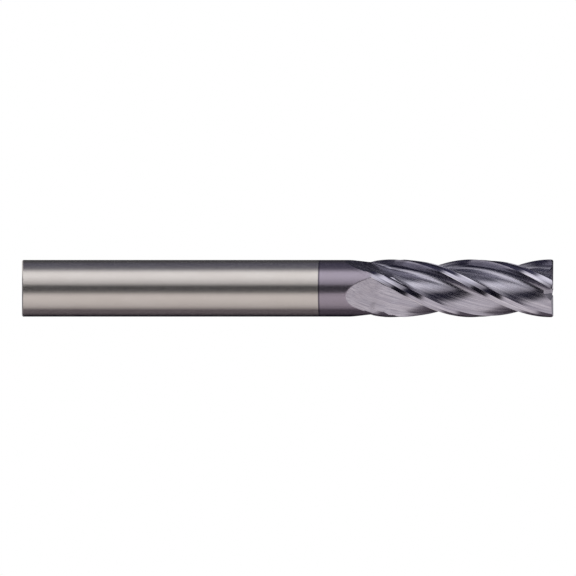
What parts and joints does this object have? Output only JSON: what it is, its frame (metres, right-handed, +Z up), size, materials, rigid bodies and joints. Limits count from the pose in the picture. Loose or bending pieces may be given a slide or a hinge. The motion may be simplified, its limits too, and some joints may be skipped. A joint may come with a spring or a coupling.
{
  "type": "end mill",
  "caption": "Solid carbide square end mill with a bare cylindrical shank and a coated, right-hand helical fluted head.",
  "frame": {"origin": "centre of the shank's flat back face, on the tool axis", "axes": "+X along the tool axis, from the shank's back face to the cutting end; +Z up"},
  "size_m": [0.075, 0.0082, 0.0082],
  "materials": {
    "ground_carbide": "cylindrically ground bare tungsten carbide, satin, warm grey",
    "coated_carbide": "thin hard nitride coating over ground carbide, glossy purple-grey"
  },
  "bodies": {
    "root": {"shank": "ground_carbide", "coated_neck": "coated_carbide", "flute_web": "coated_carbide", "tooth_1": "coated_carbide", "tooth_2": "coated_carbide", "tooth_3": "coated_carbide", "tooth_4": "coated_carbide"}
  },
  "joints": []
}
